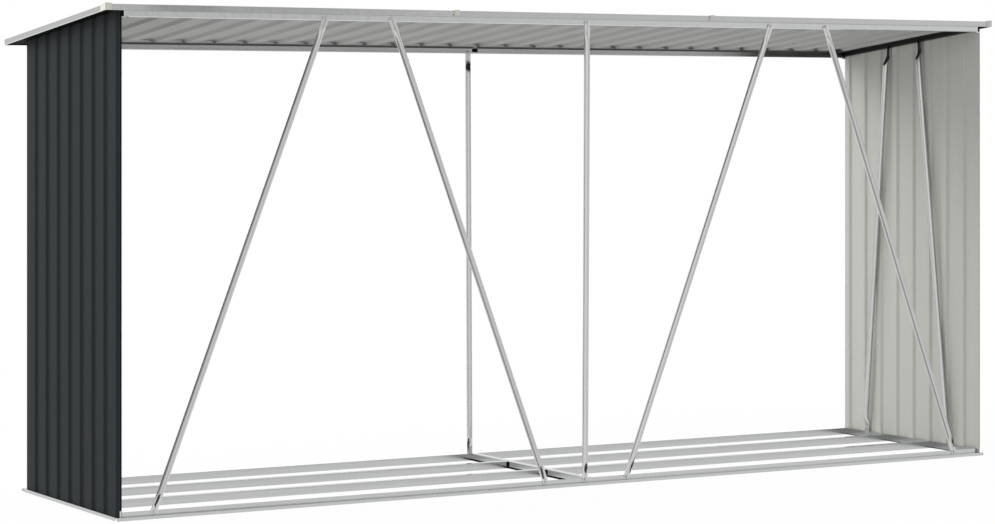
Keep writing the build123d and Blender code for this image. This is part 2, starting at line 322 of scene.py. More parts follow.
# %% [markdown]
# Wall and roof sheets are coil coated: anthracite paint on the weather side and a thin pale grey
# primer on the back. Both are rolled on, so they carry the faintest orange peel and some
# broad variation along the sheet. A coat is paint, so it isn't metallic, and its sheen is low.


# %% Coated sheet
def coat(name, dark, light, gloss, shine):
    finish = Finish(name)
    peel = finish.noise(finish.place(), 700.0, 2.0)
    sweep = finish.noise(finish.place((7, 7, 1.2)), 1.0, 4.0)
    dust = finish.noise(finish.place(), 35.0, 5.0)
    finish.set(Base_Color=finish.mix(sweep * 0.7 + dust * 0.3, dark, light))
    finish.set(Roughness=gloss + dust * 0.08 + sweep * 0.06, Specular_IOR_Level=shine)
    finish.bump(peel, 0.06, 0.0002)
    return finish.material


anthracite = coat("anthracite_coat", (0.0172, 0.0206, 0.0226, 1), (0.0216, 0.0258, 0.028, 1), 0.6, 0.12)
pale_back = coat("pale_back_coat", (0.495, 0.505, 0.466, 1), (0.55, 0.56, 0.518, 1), 0.5, 0.3)
# The roof's pale back is a darker copy of the walls' pale back: painted shade under the roof.
roof_underside_shade = coat("roof_underside_painted_shade", (0.37, 0.375, 0.363, 1), (0.422, 0.427, 0.415, 1), 0.5, 0.3)
black_coat = coat("black_coat", (0.004, 0.004, 0.0045, 1), (0.008, 0.008, 0.009, 1), 0.65, 0.04)
# The top rail's coat: black that fades to grey towards the lower edge, a painted soft edge of the shade
# under the roof.
top_rail_painted_shade = Finish("top_rail_painted_shade")
spot = top_rail_painted_shade.place()
height = top_rail_painted_shade.part(spot, "Z") + top_rail_painted_shade.part(spot, "Y") * roof_slope
level = roof_front_height - roof_half_depth * roof_slope - roof_seat
speck = top_rail_painted_shade.noise(spot, 90.0, 3.0)
shadow_fade = top_rail_painted_shade.ramp(height + speck * 2 * mm, level - 9 * mm, level - 20 * mm)
top_rail_painted_shade.set(Base_Color=top_rail_painted_shade.mix(shadow_fade, grey(0.012), grey(0.14, (1, 1, 0.96))))
top_rail_painted_shade.set(Roughness=0.55 + speck * 0.1, Specular_IOR_Level=0.12)
# Dark grey foam; its tone also paints the shade in the gap over the rear beam.
foam_painted_shade = coat("foam_painted_shade", (0.13, 0.13, 0.127, 1), (0.17, 0.17, 0.166, 1), 0.7, 0.1)
print("made", anthracite.name, pale_back.name, roof_underside_shade.name, black_coat.name, foam_painted_shade.name)

# %% [markdown]
# Corner caps and joint clips are moulded in a cream plastic. The moulding tool leaves a fine matt
# texture, and light goes a little way into the plastic, so its colour is even and warm.

# %% Cream plastic
cream = Finish("cream_plastic")
tool_mark = cream.noise(cream.place(), 1800.0, 2.0)
flow = cream.noise(cream.place(), 60.0, 3.0)
cream.set(Base_Color=cream.mix(flow, (0.625, 0.635, 0.56, 1), (0.7, 0.71, 0.635, 1)))
cream.set(Roughness=0.38 + tool_mark * 0.15, Specular_IOR_Level=0.4)
cream.bump(tool_mark, 0.08, 0.0002)
print("made", cream.material.name)

# %% [markdown]
# Every piece becomes a mesh in the same way: points and faces go in, flat faces stay flat and round
# bends shade smoothly. A weighted normal keeps the broad flat faces true where they run into
# a bend, in the way a bevelled edge is shaded in a workshop drawing.


# %% Make a piece from points and faces
pieces = {}


def add_piece(name, points, faces, finishes, slot, stands_for=(), face_finish=None, map_points=None):
    mesh = bpy.data.meshes.new(name)
    mesh.from_pydata([tuple(point) for point in points], [], faces)
    for finish in finishes:
        mesh.materials.append(finish)
    if face_finish:
        mesh.polygons.foreach_set("material_index", face_finish)
    if map_points:
        layer = mesh.uv_layers.new(name="along")
        for loop in mesh.loops:
            layer.data[loop.index].uv = map_points[loop.vertex_index]
    return take_over(mesh, name, slot, stands_for, 40)


def take_over(mesh, name, slot, stands_for, sharp_angle):
    """Shade a mesh, put it in the scene under the root body and hide the nodes it stands for."""
    mesh.polygons.foreach_set("use_smooth", [True] * len(mesh.polygons))
    mesh.set_sharp_from_angle(angle=math.radians(sharp_angle))
    mesh.update()
    made = bpy.data.objects.new(name, mesh)
    bpy.context.scene.collection.objects.link(made)
    made.modifiers.new("true_flats", "WEIGHTED_NORMAL").keep_sharp = True
    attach(made, "root")
    if stands_for:
        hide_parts(*stands_for)
    pieces[name] = made
    return made


print("ready to make pieces")

# %% [markdown]
# Folded steel starts as a line: the section that the folding press leaves. Each corner of the line
# turns into an arc, the line gets its thickness on both sides, and the section is drawn out
# along the piece. The two faces and the cut edges can carry different finishes, as coated sheet does.


# %% Fold a line into a sheet
def round_corners(corners, radius, steps=4):
    """The line with each inner corner turned into an arc."""
    line = [Vector(corner) for corner in corners]
    smooth = [line[0]]
    for before, corner, after in zip(line, line[1:], line[2:]):
        back = before - corner
        ahead = after - corner
        half = back.angle(ahead) / 2
        cut = min(radius / math.tan(half), back.length * 0.48, ahead.length * 0.48)
        middle = corner + (back.normalized() + ahead.normalized()).normalized() * cut / math.cos(half)
        start = corner + back.normalized() * cut - middle
        finish = corner + ahead.normalized() * cut - middle
        turn = start.angle_signed(finish)
        for step in range(steps + 1):
            angle = turn * step / steps
            arm = Vector((
                start.x * math.cos(angle) + start.y * math.sin(angle),
                start.y * math.cos(angle) - start.x * math.sin(angle),
            ))
            smooth.append(middle + arm)
    return smooth + [line[-1]]


def offset_line(line, distance):
    """The line moved to its left by a distance."""
    moved = []
    for index, point in enumerate(line):
        ways = []
        if index > 0:
            ways.append((point - line[index - 1]).normalized())
        if index < len(line) - 1:
            ways.append((line[index + 1] - point).normalized())
        sides = [Vector((-way.y, way.x)) for way in ways]
        side = sum(sides, Vector((0, 0))).normalized()
        moved.append(point + side * distance / max(0.3, side.dot(sides[0])))
    return moved


def folded(name, corners, stations, place, finishes, slot, stands_for, radius=2 * mm, gauge=steel):
    """Draw a folded section out between stations; place turns (station, a, b) into a point."""
    line = round_corners(corners, radius)
    left = offset_line(line, gauge / 2)
    right = offset_line(line, -gauge / 2)
    count = len(line)
    ring = left + right[::-1]
    points = [place(station, a, b) for station in stations for a, b in ring]
    faces = []
    marks = []
    size = 2 * count
    for row in range(len(stations) - 1):
        low = row * size
        for index in range(size):
            following = (index + 1) % size
            faces.append((low + index, low + following, low + size + following, low + size + index))
            edge = index in (count - 1, size - 1)
            marks.append(2 if edge else (0 if index < count else 1))
    for row, flip in ((0, True), (len(stations) - 1, False)):
        low = row * size
        for index in range(count - 1):
            cell = (low + index, low + index + 1, low + size - 2 - index, low + size - 1 - index)
            faces.append(cell[::-1] if flip else cell)
            marks.append(2)
    choice = list(finishes) if len(finishes) == 3 else [finishes[0]] * 3
    made = add_piece(name, points, faces, choice, slot, stands_for, marks)
    make_outward(made)
    return made


def make_outward(made):
    """Turn the faces of a closed piece outward."""
    work = bmesh.new()
    work.from_mesh(made.data)
    bmesh.ops.recalc_face_normals(work, faces=work.faces)
    work.to_mesh(made.data)
    work.free()


def finish_towards(made, way, finish):
    """Give the faces of a piece that look one way a finish of their own; here it paints shade on them."""
    made.data.materials.append(finish)
    last = len(made.data.materials) - 1
    for face in made.data.polygons:
        if face.normal.dot(way) > 0.9:
            face.material_index = last


def strip(name, line, ends, place, finish, slot="galvanised_steel"):
    """A small piece that the drawing leaves out."""
    return folded(name, line, ends, place, [finish], slot, [])


def along_x(station, a, b):
    return Vector((station, a, b))


def along_y(station, a, b):
    return Vector((a, station, b))


def under_roof(station, y, drop):
    return Vector((station, y, roof_z(y, drop)))


def down_the_fall(station, x, drop):
    return Vector((x, station, roof_z(station, drop)))


print("folding tools ready")

# %% [markdown]
# The base is a ring of folded rail. One strip makes it all: an outer lip that stands on the ground,
# a ledge that carries the wall sheet, an upstand, and a hem that brings the strip back to the
# ground on the inside, so that the upstand is two layers thick and has no sharp edge.

# %% Base rails
lip_height = 10 * mm
rail_height = 24 * mm
step_width = 14.5 * mm
ledge_side = 15 * mm
layer = solid_gauge / 2
rail_bend = 1 * mm


def rail_section(outer, step, inward):
    """Section of the base rail from its lip to the foot of its hem."""
    half = inward * layer / 2
    return [
        (outer + half, 0),
        (outer + half, lip_height - layer / 2),
        (step + half, lip_height - layer / 2),
        (step + half, rail_height - layer / 2),
        (step + 3 * half, rail_height - layer / 2),
        (step + 3 * half, 0),
    ]


base_front_y = wall_front_y - 3 * mm
base_rear_y = wall_rear_y + 3 * mm
front_step_y = base_front_y + step_width
rear_step_y = base_rear_y - step_width
rail_end = wall_half_span + ledge_side
for side_name, side in (("left", -1), ("right", 1)):
    web_end = frame_x + side * (wall_half_span - 2 * solid_gauge)
    ends = sorted((frame_x + side * half_gap, web_end))
    corner_ends = sorted((web_end, frame_x + side * rail_end))
    for end_name, lip_y, step_y, inward in (
        ("front", base_front_y, front_step_y, 1),
        ("rear", base_rear_y, rear_step_y, -1),
    ):
        node = f"base_{end_name}_rail_{side_name}"
        section = rail_section(lip_y, step_y, inward)
        folded(
            node + "_folded", section, ends, along_x,
            [zinc_rail], "galvanised_steel", [node], rail_bend, layer,
        )
        corner = section[:2] + [(step_y, lip_height - layer / 2)]
        folded(
            node + "_corner", corner, corner_ends, along_x,
            [zinc_rail], "galvanised_steel", [], rail_bend, layer,
        )
    node = f"base_{side_name}_rail"
    web = side * (wall_half_span - solid_gauge)
    section = [(frame_x + a, b) for a, b in rail_section(side * rail_end, web, -side)]
    made = folded(
        node + "_folded", section, (front_step_y, rear_step_y),
        along_y, [zinc_rail], "galvanised_steel", [node], rail_bend, layer,
    )
    # The inward faces of the side rails take the darkest zinc: painted shade.
    finish_towards(made, Vector((-side, 0, 0)), zinc_painted_shade)
print("base rails:", len(pieces))

# %% [markdown]
# Two floor rails keep the logs off the wet ground. Each is an upturned channel in two halves that
# meet at the middle, where a channel with lips runs from front to rear in three lengths. Thin black
# strips along the feet of the channel and of the side rails paint the contact shadow there, and dark
# clips close two corners.

# %% Floor rails and centre rail
floor_rail_width = 25 * mm
floor_bend = 1.2 * mm
centre_shadow_height = 6 * mm
side_shadow_height = 2.6 * mm
clip_length = 9 * mm
clip_foot = 6.2 * mm
clip_top = rail_height - 1.5 * mm
floor_pitch = (rear_step_y - solid_gauge - front_step_y) / 3
half_steel = steel / 2
rail_inner = wall_half_span - 2 * solid_gauge
floor_fronts = [front_step_y + floor_pitch * index for index in (1, 2)]
for end_name, front in zip(("front", "rear"), floor_fronts):
    back = front + floor_rail_width
    section = [
        (front + half_steel, 0), (front + half_steel, rail_height - half_steel),
        (back - half_steel, rail_height - half_steel), (back - half_steel, 0),
    ]
    for side_name, side in (("left", -1), ("right", 1)):
        node = f"{end_name}_floor_rail_{side_name}"
        ends = sorted((frame_x + side * half_gap, frame_x + side * rail_inner))
        folded(node + "_folded", section, ends, along_x, [zinc_rail], "galvanised_steel", [node], floor_bend)

rail_lip = 8 * mm
left = frame_x + half_steel
right = frame_x + floor_rail_width - half_steel
channel = [
    (left + rail_lip, half_steel), (left, half_steel), (left, rail_height - half_steel),
    (right, rail_height - half_steel), (right, half_steel), (right - rail_lip, half_steel),
]
spans = [
    (front_step_y + solid_gauge, floor_fronts[0]),
    (floor_fronts[0] + floor_rail_width, floor_fronts[1]),
    (floor_fronts[1] + floor_rail_width, rear_step_y - solid_gauge),
]
for index, span in enumerate(spans):
    made = folded(
        f"base_centre_rail_{index + 1}", channel, span, along_y,
        [zinc_rail], "galvanised_steel", ["base_centre_rail"] if index == 0 else [], floor_bend,
    )
    # Both side faces of the centre rail take the trim's slightly darker zinc: painted shade.
    finish_towards(made, Vector((-1, 0, 0)), zinc_trim)
    finish_towards(made, Vector((1, 0, 0)), zinc_trim)
    for name, x in (("left", left - steel), ("right", right + steel)):
        # A black strip at each foot of the channel: painted contact shadow.
        shadow_line = [(x, 0), (x, centre_shadow_height)]
        strip(f"centre_rail_seal_{name}_{index + 1}", shadow_line, span, along_y, black_coat, "dark_steel")
    if index < 2:
        clip = [(left - steel, clip_foot), (left - steel, clip_top)]
        clip_ends = (span[1] - clip_length, span[1])
        strip(f"centre_rail_clip_{index + 1}", clip, clip_ends, along_y, black_coat, "dark_steel")
    for name, side in (("left", -1), ("right", 1)):
        x = frame_x + side * (rail_inner - half_steel)
        # A black strip at the foot of each side rail's inner face: painted contact shadow.
        shadow_line = [(x, 0), (x, side_shadow_height)]
        strip(f"{name}_rail_seal_{index + 1}", shadow_line, span, along_y, black_coat, "dark_steel")
print("with floor rails:", len(pieces))

# %% [markdown]
# An end wall is one ribbed sheet. Its ribs stand outward, so from outside each pitch shows a broad
# flat, a narrow sloping face that catches little light, and a broad flat again. The sheet is
# anthracite outside and pale grey inside, and its top follows the fall of the roof. A narrow fold
# covers its front edge, coloured black as painted shade along that edge, and a tab in brighter zinc,
# a painted highlight, closes the foot of that fold.

# %% End walls
rib_pitch = 94 * mm
rib_crest = 53.5 * mm
rib_slope = 8 * mm
rib_depth = 7 * mm
rib_count = 8
front_flat = 18 * mm
wall_mid_y = (wall_front_y + wall_rear_y) / 2
wall_foot = lip_height


def ribs(first, count, pitch, crest, slope, depth):
    """Corners (along, out) of a run of ribs."""
    corners = []
    for index in range(count):
        middle = first + index * pitch
        corners.append((middle - crest / 2 - slope, 0.0))
        corners.append((middle - crest / 2, depth))
        corners.append((middle + crest / 2, depth))
        corners.append((middle + crest / 2 + slope, 0.0))
    return corners


first_rib = wall_front_y + front_flat + rib_slope + rib_crest / 2
wave = ribs(first_rib, rib_count, rib_pitch, rib_crest, rib_slope, rib_depth)
wall_line = [(wall_front_y, 0.0)] + wave + [(wall_rear_y, 0.0)]
wall_centre = wall_half_span - solid_gauge / 2
edge_shade_fold = 10 * mm
fold_foot = 0.0135
fold_out = solid_gauge / 2 + half_steel
for side_name, side in (("left", -1), ("right", 1)):
    def wall_place(station, y, out, side=side):
        top = roof_z(y, roof_seat)
        return Vector((frame_x + side * (wall_centre + out), y, wall_foot + (top - wall_foot) * station))

    node = f"{side_name}_wall_panel"
    folded(
        node + "_ribbed", wall_line, (0, 0.25, 0.5, 0.75, 1), wall_place,
        [anthracite, pale_back, anthracite], "coated_sheet", [node], 3 * mm, solid_gauge,
    )
    hem_line = [(wall_front_y, fold_out), (wall_front_y + edge_shade_fold, fold_out)]
    # The fold's black is painted shade along the wall's front edge.
    strip(node + "_edge_shade_fold", hem_line, (fold_foot, 1), wall_place, black_coat, "coated_sheet")
    # The corner tab's brighter zinc is a painted highlight.
    strip(node + "_corner_tab", hem_line, (0, fold_foot * 0.95), wall_place, zinc_highlight)
print("with walls:", len(pieces))

# %% [markdown]
# A dark angle runs along the top of each wall, inside, and a black strip closes the overhang outside
# it; that black is painted shade under the overhang. The strip is flat, so the solid from the drawing
# stays and only gets its coat. The angle is folded like the rest, and its black fades to grey along
# the lower edge: a painted soft edge to the shade under the roof.

# %% Wall top rails and soffits
top_rail_height = 18 * mm
top_rail_leg = 22 * mm
for side_name, side in (("left", -1), ("right", 1)):
    web = frame_x + side * (wall_half_span - solid_gauge - half_steel)
    leg_end = frame_x + side * (rail_inner - top_rail_leg)
    leg_drop = roof_seat + half_steel
    section = [(web, roof_seat + top_rail_height), (web, leg_drop), (leg_end, leg_drop)]
    node = f"{side_name}_wall_top_rail"
    folded(
        node + "_folded", section, (wall_front_y, wall_rear_y), down_the_fall,
        [top_rail_painted_shade.material], "dark_steel", [node],
    )
# The soffits' black is painted shade under the overhang; the joint plate is dark in its own right.
for node in ("left_soffit", "right_soffit", "rear_beam_joint_plate"):
    nodes[node].data.materials.clear()
    nodes[node].data.materials.append(black_coat)
print("with top rails:", len(pieces))

# %% [markdown]
# The beams at the front and rear are channels that open inward: a flange under the roof sheet, a
# web that takes the bolts, and a lip. Each beam is two lengths. At the rear they meet a little off
# the middle, where a dark plate covers the joint. The rear beam's zinc is darker, more so at its
# right end: a painted reflection. A black bracket with a bright foot holds each end, its black
# painted shade at the beam's end. Foam fills the ribs over the rear beam, its dark grey painted
# shade as well, and a black sheet at both ends of the rear overhang paints the shade there.

# %% Roof beams
beam_height = 22 * mm
beam_flange = 26 * mm
beam_lip = 12 * mm
beam_end = wall_half_span - 8 * mm
leg_limit = rail_inner - top_rail_leg
rear_joint_x = 21 * mm
for end_name, wall_y, inward, joint in (
    ("front", wall_front_y, 1, 0.0),
    ("rear", wall_rear_y, -1, rear_joint_x),
):
    web_y = wall_y - inward * half_steel
    bottom = roof_seat + beam_height
    section = [
        (wall_y + inward * beam_flange, roof_seat + half_steel),
        (web_y, roof_seat + half_steel),
        (web_y, bottom - half_steel),
        (wall_y + inward * beam_lip, bottom - half_steel),
        (wall_y + inward * beam_lip, bottom - 4 * mm),
    ]
    for side_name, side in (("left", -1), ("right", 1)):
        node = f"{end_name}_beam_{side_name}"
        ends = sorted((frame_x + joint + side * half_gap, frame_x + side * leg_limit))
        # The rear beam takes the darker copy, a painted reflection.
        zinc = zinc_beam if end_name == "front" else zinc_beam_painted_reflection
        folded(node + "_folded", section, ends, under_roof, [zinc], "galvanised_steel", [node], 0.15 * mm)
        tab = [(web_y, roof_seat), (web_y, bottom)]
        tab_ends = sorted((frame_x + side * leg_limit, frame_x + side * beam_end))
        strip(node + "_tab", tab, tab_ends, under_roof, zinc)
        bracket_ends = sorted((frame_x + side * (beam_end + 0.3 * mm), frame_x + side * wall_half_span))
        # The black bracket is painted shade at the beam's end.
        strip(node + "_bracket", tab, bracket_ends, under_roof, black_coat, "dark_steel")
        foot_ends = sorted(frame_x + side * (wall_half_span - inset) for inset in (14 * mm, 1 * mm))
        foot_line = [(web_y, bottom + 0.4 * mm), (web_y, bottom + 4 * mm)]
        strip(node + "_bracket_foot", foot_line, foot_ends, under_roof, zinc_tube)

filler_y = wall_rear_y - 1.5 * steel
filler_top = roof_seat + 2 * steel
filler = [(wall_rear_y - beam_flange, filler_top), (filler_y, filler_top), (filler_y, roof_seat + 4.5 * mm)]
plate_half = 10.5 * mm
closer_drop = roof_seat + half_steel
closer_width = 0.09
for side_name, side in (("left", -1), ("right", 1)):
    ends = sorted((frame_x + rear_joint_x + side * plate_half, frame_x + side * leg_limit))
    # Foam in the ribs over the rear beam; its dark grey also paints the shade in that gap.
    folded(f"rear_filler_{side_name}", filler, ends, under_roof, [foam_painted_shade], "dark_steel", [], 0.6 * mm)
    # A black sheet under each end of the rear overhang: painted shade.
    closer = [(wall_rear_y + 2 * mm, closer_drop), (roof_half_depth - 4 * mm, closer_drop)]
    closer_ends = sorted(frame_x + side * (wall_half_span - inset) for inset in (closer_width, 1 * mm))
    strip(f"rear_closer_{side_name}", closer, closer_ends, under_roof, black_coat, "dark_steel")
print("with beams:", len(pieces))

# %% [markdown]
# The roof is three ribbed sheets side by side, coated like the walls. Underneath it takes a darker
# copy of the pale back coat, which paints the shade under the roof. Each runs from the front trim
# to the rear trim. Their ribs stand up, so rain runs down the valleys.

# %% Roof sheets
roof_sheet_x = 1646.5 * mm
roof_crest = 52 * mm
roof_rib_slope = 9 * mm
roof_rib_depth = 10 * mm
roof_ribs = 10
sheet_width = 2 * roof_sheet_x / 3
roof_pitch = sheet_width / roof_ribs
crest_drop = solid_gauge * 1.5
for index, place_name in enumerate(("left", "centre", "right")):
    start = index * sheet_width - roof_sheet_x
    wave = ribs(start, roof_ribs + 1, roof_pitch, roof_crest, roof_rib_slope, roof_rib_depth)[2:-2]
    line = [(start, roof_rib_depth)] + wave + [(start + sheet_width, roof_rib_depth)]

    def roof_place(station, x, out):
        return Vector((x, station, roof_z(station, crest_drop + roof_rib_depth - out)))

    node = f"roof_panel_{place_name}"
    folded(
        node + "_ribbed", line, (-roof_sheet_y, 0, roof_sheet_y), roof_place,
        [anthracite, roof_underside_shade, anthracite], "coated_sheet", [node], 3 * mm, solid_gauge,
    )
print("with roof:", len(pieces))

# %% [markdown]
# Folded trim covers the sheet edges all round the roof: a face that hangs down and a flange on top,
# with a small hem under the face to stiffen it. Along the front and the rear it comes in three
# lengths with a narrow joint between them, and a bead in brighter zinc, a painted highlight, edges
# the sloping trim at each end. The rear trim's inward and lower faces are black, painted shade, and
# the left front length darkens towards its outer end, a painted reflection.

# %% Roof trim
trim_face = 18.5 * mm
trim_flange = 30 * mm
trim_x = 1648 * mm
hem = 6 * mm
trim_bend = 1 * mm
for end_name, end in (("front", -1), ("rear", 1)):
    face_y = end * (roof_half_depth - half_steel)
    section = [
        (end * (roof_half_depth - solid_gauge), trim_face - hem),
        (end * (roof_half_depth - solid_gauge), trim_face - half_steel),
        (face_y, trim_face - half_steel),
        (face_y, half_steel),
        (end * (roof_half_depth - trim_flange), half_steel),
    ]
    for place_name in ("left", "centre", "right"):
        node = f"{end_name}_trim_{place_name}"
        low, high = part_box(node)
        # The left front length takes the copy that paints a reflection towards its outer end.
        zinc = zinc_trim_painted_reflection if node == "front_trim_left" else zinc_trim
        made = folded(
            node + "_folded", section, (low.x, high.x), under_roof,
            [zinc], "galvanised_steel", [node], trim_bend,
        )
        # The rear trim's inward and lower faces are black: painted shade.
        if end_name == "rear":
            finish_towards(made, Vector((0, -1, 0)), black_coat)
            finish_towards(made, Vector((0, 0, -1)), black_coat)
for side_name, side in (("left", -1), ("right", 1)):
    face_x = side * (trim_x - half_steel)
    inner_x = side * (trim_x - solid_gauge)
    flange_y = roof_half_depth - trim_flange
    node = f"{side_name}_rake_trim"
    face = [
        (inner_x, trim_face - hem), (inner_x, trim_face - half_steel),
        (face_x, trim_face - half_steel), (face_x, half_steel),
    ]
    flange = [(face_x, half_steel), (side * (trim_x - trim_flange), half_steel)]
    folded(
        node + "_folded", face + flange[1:], (-flange_y, flange_y), down_the_fall,
        [zinc_rake], "galvanised_steel", [node], trim_bend,
    )
    # The bead's brighter zinc is a painted highlight along the foot of the trim.
    bead_x = face_x + side * 0.9 * mm
    bead = [(bead_x, trim_face - 3 * mm), (bead_x, trim_face + 0.4 * mm)]
    strip(node + "_bead", bead, (-roof_sheet_y, roof_sheet_y), down_the_fall, zinc_highlight)
    for end_name, ends in (("front", (-roof_sheet_y, -flange_y)), ("rear", (flange_y, roof_sheet_y))):
        face[-1] = (face_x, steel)
        folded(
            f"{node}_{end_name}_end", face, ends, down_the_fall,
            [zinc_rake], "galvanised_steel", [], trim_bend,
        )
print("with trim:", len(pieces))

# %% [markdown]
# A brace is a round tube whose ends are pressed flat and bolted through. The press takes the circle
# to a flat tongue over some thirty millimetres. Two outlines with the same number of points make
# that easy: the circle and the tongue are mixed point by point, with a soft start and end.

# %% Tubes with pressed ends
tongue_width = 20 * mm
tongue_gauge = 3 * mm
tongue_length = 34 * mm
press_length = 34 * mm
tongue_corner = 6 * mm
around = 32


def tongue_outline(width):
    """Points round a flat tongue, matched to the points of the circle."""
    outline = []
    for index in range(around):
        angle = 2 * math.pi * index / around
        across = math.cos(angle)
        deep = math.sin(angle)
        flat = max(0.0, width / 2 - tongue_gauge / 2)
        outline.append((
            math.copysign(flat * min(1.0, abs(across) * 1.12), across) + across * tongue_gauge / 2,
            math.copysign(tongue_gauge / 2 * min(1.0, abs(deep) * 2.2), deep),
        ))
    return outline


turns = [2 * math.pi * index / around for index in range(around)]
circle = [(tube_radius * math.cos(turn), tube_radius * math.sin(turn)) for turn in turns]


def ease(share):
    return share * share * (3 - 2 * share)


def pressed_tube(name, foot, top, normal, standoff, stands_for, marks=(), finish=zinc_tube, wrap=270):
    """A tube from the end of one tongue to the end of the other.

    A mark is a hollow that the press leaves, coloured dark as painted shade: (from the foot or the top,
    start, stop, angle, width).
    """
    rise = top - foot
    way = (rise - normal * rise.dot(normal)).normalized()
    across = way.cross(normal)
    length = (top - foot).dot(way)
    tilt = (rise.dot(normal)) / length
    rings = []
    for near_end in (0.0, 0.3, 1.0, 2.2, 4.0, 6.0):
        gap = tongue_corner - near_end * mm
        cut = tongue_corner - math.sqrt(max(0.0, tongue_corner**2 - gap**2))
        rings.append((near_end * mm, 0.0, tongue_width - 2 * cut))
    flat_steps = 8
    for step in range(1, flat_steps):
        rings.append((6 * mm + (tongue_length - 6 * mm) * step / flat_steps, 0.0, tongue_width))
    steps = 14
    for step in range(steps + 1):
        share = step / steps
        rings.append((tongue_length + press_length * share, ease(share), tongue_width))
    rings.append((tongue_length + press_length + 12 * mm, 1.0, tongue_width))
    rings += [(length - spot, share, width) for spot, share, width in reversed(rings)]
    points = []
    spots = []
    for spot, share, width in rings:
        flat = tongue_outline(width)
        middle = foot + way * spot + normal * (standoff * share + tilt * spot)
        for index in range(around):
            dent = max([0.0] + [dent_depth(mark, spot, length, index) for mark in marks])
            side = circle[index][0] * share + flat[index][0] * (1 - share)
            out = circle[index][1] * share + flat[index][1] * (1 - share)
            points.append(middle + across * side * (1 - dent) + normal * out * (1 - dent))
            spots.append((2 * math.pi * tube_radius * ((index / around - wrap / 360) % 1), spot))
    faces = []
    choice = []
    for row in range(len(rings) - 1):
        middle_spot = (rings[row][0] + rings[row + 1][0]) / 2
        for index in range(around):
            following = (index + 1) % around
            low = row * around
            faces.append((low + index, low + following, low + around + following, low + around + index))
            choice.append(int(any(dent_depth(mark, middle_spot, length, index + 0.5) > 0 for mark in marks)))
    last = (len(rings) - 1) * around
    half = around // 2
    for index in range(half):
        strip = [index, index + 1, (around - index - 1) % around, (around - index) % around]
        strip = list(dict.fromkeys(strip))
        faces.append(tuple(strip))
        faces.append(tuple(last + corner for corner in reversed(strip)))
        choice += [0, 0]
    finishes = [finish, press_painted_shade]
    made = add_piece(name, points, faces, finishes, "galvanised_steel", stands_for, choice, spots)
    make_outward(made)
    return made


def dent_depth(mark, spot, length, index):
    """How deep a press mark is at a place on the tube, as a share of the radius."""
    end, start, stop, angle, width = mark
    run = spot if end == "foot" else length - spot
    along = (run - (start + stop) / 2) / ((stop - start) / 2)
    turn = (360 * index / around - angle + 180) % 360 - 180
    inside = 1 - along**2 - (turn / width) ** 2
    return 0.25 * math.sqrt(inside) if inside > 0 else 0.0


foot_gap = 5 * mm
top_inset = 11 * mm
foot_z = lip_height + foot_gap
front_foot_y = front_step_y - tongue_gauge / 2
front_top_y = wall_front_y - solid_gauge - tongue_gauge / 2
front_top_z = roof_z(wall_front_y, roof_seat + top_inset)
post_x = frame_x - 5 * mm
outer_foot, outer_top = 1495.5 * mm, 933.5 * mm
inner_foot, inner_top = 150.5 * mm, 712 * mm
tube_runs = {"front_post": (post_x, post_x)}
for side_name, side in (("left", -1), ("right", 1)):
    tube_runs[f"front_brace_{side_name}_outer"] = (frame_x + side * outer_foot, frame_x + side * outer_top)
    tube_runs[f"front_brace_{side_name}_inner"] = (frame_x + side * inner_foot, frame_x + side * inner_top)
# Where the press dents each foot, the dark finish paints shade in the hollow.
foot_marks = {
    "front_post": ("foot", 24 * mm, 56 * mm, 262, 34),
    "front_brace_left_outer": ("foot", 20 * mm, 60 * mm, 285, 24),
    "front_brace_left_inner": ("foot", 18 * mm, 62 * mm, 285, 24),
    "front_brace_right_inner": ("foot", 18 * mm, 76 * mm, 230, 24),
    "front_brace_right_outer": ("foot", 18 * mm, 60 * mm, 230, 24),
}
tube_ends = []
inward = Vector((0, 1, 0))
for node, (foot_x, top_x) in tube_runs.items():
    foot = Vector((foot_x, front_foot_y, foot_z))
    top = Vector((top_x, front_top_y, front_top_z))
    finish = tube_right if "right_inner" in node else zinc_tube if "post" in node else tube_left
    pressed_tube(node + "_pressed", foot, top, inward, 0.0, [node], [foot_marks[node]], finish, 90)
    tube_ends.append((foot, top, inward, -inward))
foot = Vector((post_x, rear_step_y + tongue_gauge / 2, foot_z))
rear_top_z = roof_z(wall_rear_y, roof_seat + top_inset)
top = Vector((post_x, wall_rear_y + solid_gauge + tongue_gauge / 2, rear_top_z))
rear_marks = [("top", 42 * mm, 72 * mm, 90, 75), ("foot", 18 * mm, 64 * mm, 140, 26)]
pressed_tube("rear_post_pressed", foot, top, -inward, 0.0, ["rear_post"], rear_marks)
tube_ends.append((foot, top, -inward, inward))
print("front and rear tubes:", len(tube_ends))

# %% [markdown]
# The end walls are braced on the inside by two tubes each, which spread towards the floor. Their
# tongues lie against the rails, and the round part stands clear of the ribs.

# %% Wall braces
standoff = tube_radius + 1 * mm - tongue_gauge / 2
foot_shift, foot_spread = 10 * mm, 476 * mm
top_shift, top_spread = 32 * mm, 173 * mm
wall_tube_ends = []
for side_name, side in (("left", -1), ("right", 1)):
    for end_name, end in (("front", -1), ("rear", 1)):
        x = frame_x + side * (rail_inner - tongue_gauge / 2)
        foot_y = wall_mid_y + foot_shift + end * foot_spread / 2
        top_y = wall_mid_y + top_shift + end * top_spread / 2
        foot = Vector((x, foot_y, foot_z))
        top = Vector((x, top_y, roof_z(top_y, roof_seat + top_inset)))
        normal = Vector((-side, 0, 0))
        node = f"{side_name}_wall_brace_{end_name}"
        # The dark at the top of each wall brace's tongue and in the dent at its foot is painted shade.
        marks = [("top", -30 * mm, 72 * mm, 90, 84), ("foot", 26 * mm, 48 * mm, 100, 18)]
        pressed_tube(node + "_pressed", foot, top, normal, standoff, [node], marks)
        wall_tube_ends.append((foot, top, normal, normal))
print("all tubes:", len(tube_ends) + len(wall_tube_ends))

